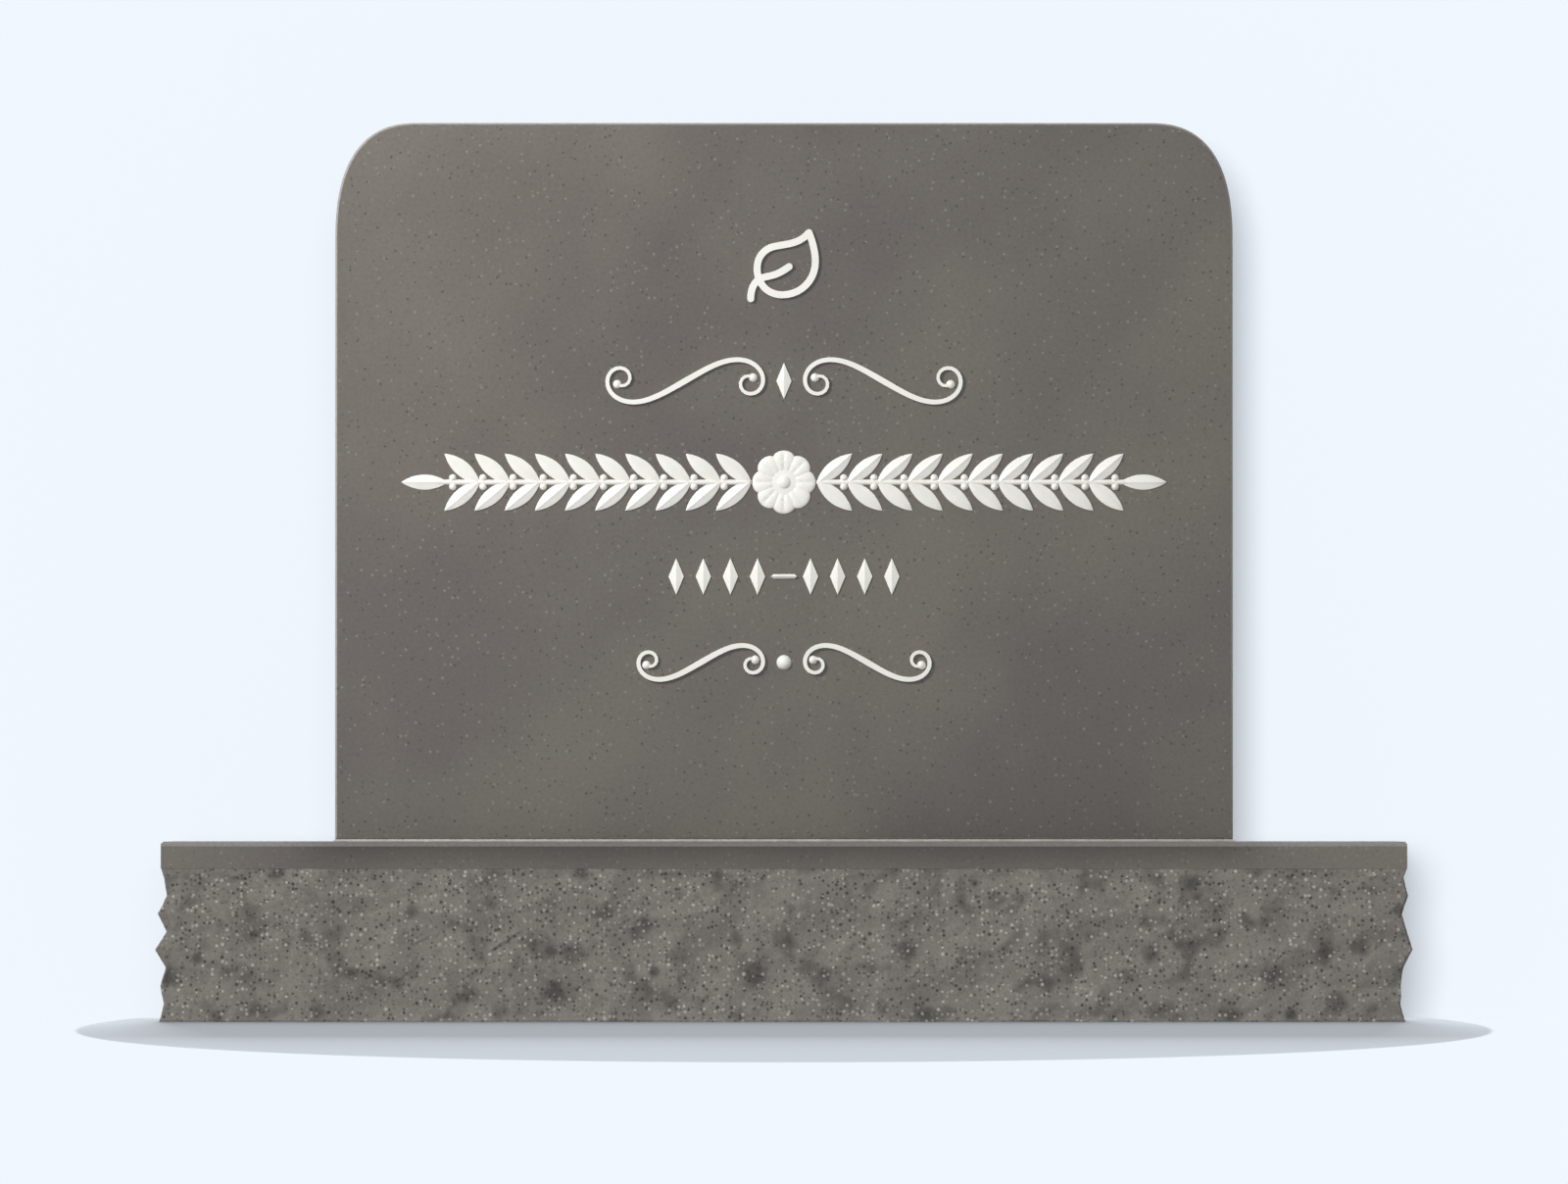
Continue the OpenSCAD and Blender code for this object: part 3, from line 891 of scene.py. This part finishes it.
class HEADSTONE_OT_garland(bpy.types.Operator):
    """Make the garland of leaves and berries"""

    bl_idname = "headstone.garland"
    bl_label = "Garland"

    def execute(self, context):
        ornament = context.scene.headstone_ornament
        piece = shown("enamelled_garland", leaf_template(ornament))
        gap = 2 * MM
        start = ROSETTE_HIGH.x + gap
        stem_end = GARLAND_HIGH.x - ornament.leaf_length
        grow(piece, garland_tree(), {
            "Pairs": ornament.leaf_pairs, "Start": start,
            "Pitch": (stem_end - start) / ornament.leaf_pairs,
            "Leaf angle": ornament.leaf_angle,
            "Stem width": ornament.stem_width, "Stem end": stem_end,
            "Berry": ornament.berry, "Berry place": 0.85, "Relief": RELIEF,
            "Centre": face_centre(GARLAND_LOW, GARLAND_HIGH),
            "Enamel": finish(stove_enamel, ornament)})
        place(shade(piece, 35), "white_enamel",
              "garland_left", "garland_right")
        return {"FINISHED"}


class HEADSTONE_OT_rosette(bpy.types.Operator):
    """Make the rosette at the garland's middle"""

    bl_idname = "headstone.rosette"
    bl_label = "Rosette"

    def execute(self, context):
        ornament = context.scene.headstone_ornament
        width = ROSETTE_HIGH.x - ROSETTE_LOW.x
        rise = ROSETTE_HIGH.y - ROSETTE_LOW.y
        petal = 0.36 * width
        piece = shown("enamelled_rosette", petal_template(petal, RELIEF))
        grow(piece, rosette_tree(), {
            "Petals": ornament.petals, "Outer ring": (width - petal) / 2,
            "Inner ring": 0.2 * width, "Inner size": 0.62,
            "Disc": 0.32 * width, "Disc height": 0.75 * RELIEF,
            "Boss": 0.12 * width, "Boss height": rise,
            "Centre": face_centre(ROSETTE_LOW, ROSETTE_HIGH),
            "Enamel": finish(stove_enamel, ornament)})
        place(shade(piece, 40), "white_enamel", "rosette")
        return {"FINISHED"}


class HEADSTONE_OT_lozenges(bpy.types.Operator):
    """Make the row of lozenges, its bar and the lozenge over the garland"""

    bl_idname = "headstone.lozenges"
    bl_label = "Lozenges"

    def execute(self, context):
        ornament = context.scene.headstone_ornament
        enamel = finish(stove_enamel, ornament)
        width = LOZENGE_HIGH.x - LOZENGE_LOW.x
        height = LOZENGE_HIGH.z - LOZENGE_LOW.z
        piece = shown("enamelled_lozenges",
                      lozenge_template(width, height, ornament.rim))
        start = ROW_LOW.x + width / 2
        span = ROW_HIGH.x - width / 2 - start
        grow(piece, row_tree(), {
            "Count": ornament.lozenges, "Start": start,
            "Pitch": span / (ornament.lozenges - 1),
            "Centre": face_centre(ROW_LOW, ROW_HIGH), "Enamel": enamel})
        place(shade(piece, 15), "white_enamel",
              "lozenges_left", "lozenges_right")
        for name, node in (("enamelled_upper_lozenge", "upper_lozenge"),
                           ("enamelled_middle_bar", "middle_bar")):
            copy = eased_copy(name, node, enamel, 0.2 * MM, 1)
            place(copy, "white_enamel", node)
        return {"FINISHED"}


class HEADSTONE_OT_scrolls(bpy.types.Operator):
    """Make the leaf emblem, the four scrolls and the bead"""

    bl_idname = "headstone.scrolls"
    bl_label = "Leaf emblem and scrolls"

    def execute(self, context):
        ornament = context.scene.headstone_ornament
        enamel = finish(stove_enamel, ornament)
        for node in ("leaf_emblem", "upper_scroll_left", "upper_scroll_right",
                     "lower_scroll_left", "lower_scroll_right",
                     "lower_bead"):
            piece = eased_copy("enamelled_" + node, node, enamel,
                               ornament.edge, 3)
            place(piece, "white_enamel", node)
        return {"FINISHED"}


# -------------------------------------------------------------------- stage

def paint(name, studio, glow, light, middle, reach, soft):
    """Studio paint that shows its own lamps' shadows inside an oval, where its
    glow and light may also leave it darker than the background. Outside it is
    the background's plain colour, and from behind it is clear."""
    material, tree, shader, where = new_material(name)
    tree.nodes.remove(shader)
    offset = add(tree, VECTOR_MATH, {0: where, 1: middle},
                 operation="SUBTRACT")
    share = add(tree, VECTOR_MATH, {0: offset, 1: reach}, operation="DIVIDE")
    ring = add(tree, VECTOR_MATH, {0: share}, operation="LENGTH")
    outside = add(tree, "ShaderNodeMapRange",
                  {"Value": ring, "From Min": 1 - soft, "From Max": 1.0},
                  interpolation_type="SMOOTHSTEP")
    tone = studio.backdrop
    lit = add(tree, "ShaderNodeBsdfDiffuse", {"Color": dimmed(tone, light)})
    dim = add(tree, "ShaderNodeEmission", {"Color": tone, "Strength": glow})
    inside = add(tree, "ShaderNodeAddShader", {0: lit, 1: dim})
    plain = add(tree, "ShaderNodeEmission", {"Color": tone})
    front = add(tree, "ShaderNodeMixShader",
                {0: outside, 1: inside, 2: plain})
    behind = add(tree, "ShaderNodeNewGeometry").outputs["Backfacing"]
    clear = add(tree, "ShaderNodeBsdfTransparent")
    sheet = add(tree, "ShaderNodeMixShader", {0: behind, 1: front, 2: clear})
    feed(tree.nodes["Material Output"], {"Surface": sheet})
    return material


def studio_sheet(name, material, size, centre, tilt):
    """A flat square of the studio that only the camera sees."""
    work = bmesh.new()
    bmesh.ops.create_grid(work, x_segments=1, y_segments=1, size=size)
    stand = Matrix.Translation(centre) @ Matrix.Rotation(tilt, 4, "X")
    bmesh.ops.transform(work, matrix=stand, verts=work.verts)
    sheet = shown(name, work)
    sheet.data.materials.append(material)
    for ray in ("diffuse", "glossy", "transmission", "shadow"):
        setattr(sheet, "visible_" + ray, False)
    return sheet


def add_lamp(name, kind, power, toward, distance, lights, shades=None,
             **settings):
    """A lamp that looks at the stone's middle from one way and lights only
    some of the objects. Its shadows come from all, or only from some."""
    lamp = bpy.data.lights.new(name, kind)
    lamp.energy = power
    for key, value in settings.items():
        setattr(lamp, key, value)
    holder = bpy.data.objects.new(name, lamp)
    bpy.context.scene.collection.objects.link(holder)
    way = Vector(toward).normalized()
    holder.location = STONE_MIDDLE + distance * way
    holder.rotation_euler = way.to_track_quat("Z", "Y").to_euler()
    holder.visible_camera = False
    for link, items in (("receiver", lights), ("blocker", shades)):
        if items:
            group = bpy.data.collections.new(name + " " + link)
            for item in items:
                group.objects.link(item)
            setattr(holder.light_linking, link + "_collection", group)


def light_world(studio):
    """Even white light, and the backdrop's colour for the camera, for gloss
    and for glass."""
    world = bpy.data.worlds.new("studio")
    bpy.context.scene.world = world
    world.use_nodes = True
    tree = world.node_tree
    tree.nodes.clear()
    path = add(tree, "ShaderNodeLightPath").outputs
    mirrored = add(tree, MATH,
                   {0: path["Is Glossy Ray"], 1: path["Is Transmission Ray"]},
                   operation="ADD")
    seen = add(tree, MATH,
               {0: path["Is Camera Ray"], 1: mirrored}, operation="ADD",
               use_clamp=True)
    sky = add(tree, "ShaderNodeBackground",
              {"Color": linear("#ffffff"), "Strength": studio.sky})
    back = add(tree, "ShaderNodeBackground", {"Color": studio.backdrop})
    both = add(tree, "ShaderNodeMixShader", {0: seen, 1: sky, 2: back})
    add(tree, "ShaderNodeOutputWorld", {"Surface": both})


class HEADSTONE_OT_studio(bpy.types.Operator):
    """Set up the pale floor and backdrop, the lamps and the camera"""

    bl_idname = "headstone.studio"
    bl_label = "Studio"

    def execute(self, context):
        scene = context.scene
        studio = scene.headstone_studio
        stone = [item for item in scene.objects if item.type == "MESH"]
        base = bpy.data.objects["pitched_base"]
        upright = [item for item in stone if item != base]
        light_world(studio)

        # From the low camera the floor's oval shows from 35 mm under the
        # stone's foot to 18.5 mm over it.
        near, far = (studio.distance * drop / (studio.height + drop)
                     for drop in (35 * MM, -18.5 * MM))
        half_width = 583 * MM
        floor_light, wall_light = 0.25 / studio.sky, 0.08
        # The floor's oval is painted darker than the backdrop, a painted
        # ground shadow under the stone; the floor lamps cast real shadows over
        # it.
        floor_paint = paint(
            "Studio floor paint", studio, glow=0.12, light=floor_light,
            middle=(0, TABLET_LOW.y - (near + far) / 2, 0),
            reach=(half_width, (near - far) / 2, 1), soft=0.01)
        floor = studio_sheet("floor", floor_paint, size=6.0,
                             centre=(0, 0, -0.1 * MM), tilt=0.0)
        wall_paint = paint(
            "Studio backdrop paint", studio,
            glow=0.37 - wall_light * studio.sky, light=wall_light,
            middle=STONE_MIDDLE, reach=(1.0, 1, 0.85), soft=0.3)
        wall = studio_sheet("backdrop", wall_paint, size=1.1,
                            centre=(0, BASE_HIGH.y + 20 * MM, 1.1),
                            tilt=math.pi / 2)

        # The key is near the tablet, whose far side it leaves darker, and
        # far from the base, which it lights evenly.
        key_way, close, softness = (-1.3, -1.5, 0.95), 2.6, 0.115
        for name, distance, lights in (("tablet key", close, upright),
                                       ("base key", 5 * close, [base])):
            add_lamp(name, "POINT", studio.key * (distance / close) ** 2,
                     key_way, distance, lights,
                     shadow_soft_size=softness * distance)
        add_lamp("back", "SUN", studio.back, (1.0, 1.6, 1.2), 2.5, stone,
                 angle=math.radians(30))
        for name, share, toward, angle in (
                ("backdrop shadow", 0.50, (-0.049, -1, 0.055), 9),
                ("backdrop halo", 0.13, (0, -1, 0.1), 12)):
            add_lamp(name, "SUN", share * math.pi / wall_light, toward, 3,
                     [wall], angle=math.radians(angle))

        # Two lamps far behind draw the base's shadow towards the camera: a
        # low one evenly, and a tall one darker and darker near the foot.
        away, aside = 40, -0.006
        for name, share, low, high, width in (
                ("long floor shadow", 0.30, 1.5, 6.6, 5.6),
                ("short floor shadow", 0.13, 2.2, 57.7, 1.4)):
            rise = math.radians((low + high) / 2)
            tall = 2 * away * math.tan(math.radians((high - low) / 2))
            add_lamp(name, "AREA",
                     share * (math.pi * away) ** 2 / floor_light
                     / math.sin(rise),
                     (aside, math.cos(rise), math.sin(rise)), away, [floor],
                     [base], shape="RECTANGLE", size=width, size_y=tall)

        lens = bpy.data.cameras.new("camera")
        lens.lens = lens.sensor_width * studio.distance / studio.view_width
        lens.clip_end = 4 * studio.distance
        camera = bpy.data.objects.new("camera", lens)
        scene.collection.objects.link(camera)
        camera.location = (0, TABLET_LOW.y - studio.distance, studio.height)
        tilt = math.atan2(studio.middle - studio.height, studio.distance)
        camera.rotation_euler = (math.pi / 2 + tilt, 0, 0)
        scene.camera = camera
        scene.view_settings.view_transform = "Standard"
        return {"FINISHED"}


# ------------------------------------------------------------------- add-on

STEPS = (HEADSTONE_OT_base, HEADSTONE_OT_setting_bed, HEADSTONE_OT_tablet,
         HEADSTONE_OT_garland, HEADSTONE_OT_rosette, HEADSTONE_OT_lozenges,
         HEADSTONE_OT_scrolls, HEADSTONE_OT_studio)
GROUPS = {"headstone_granite": HEADSTONE_PG_granite,
          "headstone_ornament": HEADSTONE_PG_ornament,
          "headstone_studio": HEADSTONE_PG_studio}


class HEADSTONE_PT_panel(bpy.types.Panel):
    """Lists the steps and the settings of the headstone's finish"""

    bl_idname = "HEADSTONE_PT_panel"
    bl_label = "Headstone"
    bl_space_type = "VIEW_3D"
    bl_region_type = "UI"
    bl_category = "Headstone"

    def draw(self, context):
        for step in STEPS:
            self.layout.operator(step.bl_idname)
        for name, group in GROUPS.items():
            box = self.layout.box()
            for setting in group.__annotations__:
                box.prop(getattr(context.scene, name), setting)


CLASSES = (*GROUPS.values(), *STEPS, HEADSTONE_PT_panel)


def register():
    for item in CLASSES:
        bpy.utils.register_class(item)
    for name, group in GROUPS.items():
        setattr(bpy.types.Scene, name, PointerProperty(type=group))


def unregister():
    for name in GROUPS:
        delattr(bpy.types.Scene, name)
    for item in reversed(CLASSES):
        bpy.utils.unregister_class(item)


def main():
    register()
    bpy.ops.headstone.base()
    bpy.ops.headstone.setting_bed()
    bpy.ops.headstone.tablet()
    bpy.ops.headstone.garland()
    bpy.ops.headstone.rosette()
    bpy.ops.headstone.lozenges()
    bpy.ops.headstone.scrolls()
    bpy.ops.headstone.studio()


if __name__ == "__main__":
    main()
